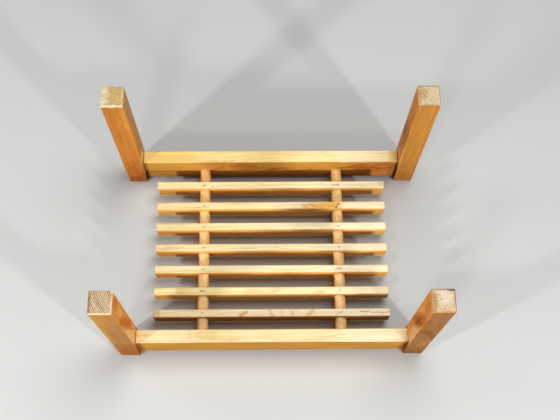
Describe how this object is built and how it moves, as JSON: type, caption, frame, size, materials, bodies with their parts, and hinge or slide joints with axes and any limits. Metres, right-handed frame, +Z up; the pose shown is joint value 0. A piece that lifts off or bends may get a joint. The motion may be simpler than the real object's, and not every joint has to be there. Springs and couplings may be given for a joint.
{
  "type": "slatted footstool frame",
  "caption": "Slatted pine footstool frame, standing feet up: two leg-and-rail sides tied by round rods that carry slats on edge for a loose cushion.",
  "frame": {"origin": "on the floor, under the middle of the frame, which stands upside down on the seat ends of its legs", "axes": "+X along the rails and slats to the right, +Y along the rods to the back, +Z up from the floor to the feet; turned half round X it stands as it is used"},
  "size_m": [0.68, 0.466, 0.41],
  "materials": {
    "leg_pine": "orange lacquered pine, worn bare on the feet",
    "rail_pine": "golden lacquered pine",
    "slat_pine": "pale golden lacquered pine",
    "rod_wood": "turned hardwood, satin lacquer",
    "pin_wood": "bare turned hardwood",
    "nail_steel": "dull dark steel"
  },
  "bodies": {
    "root": {"leg_front_left": "leg_pine", "leg_front_right": "leg_pine", "leg_back_left": "leg_pine", "leg_back_right": "leg_pine", "rail_front": "rail_pine", "rail_back": "rail_pine", "rod_left": "rod_wood", "rod_right": "rod_wood", "slat_1": "slat_pine", "slat_2": "slat_pine", "slat_3": "slat_pine", "slat_4": "slat_pine", "slat_5": "slat_pine", "slat_6": "slat_pine", "slat_7": "slat_pine", "joint_pins": "pin_wood", "slat_nails": "nail_steel"}
  },
  "joints": []
}
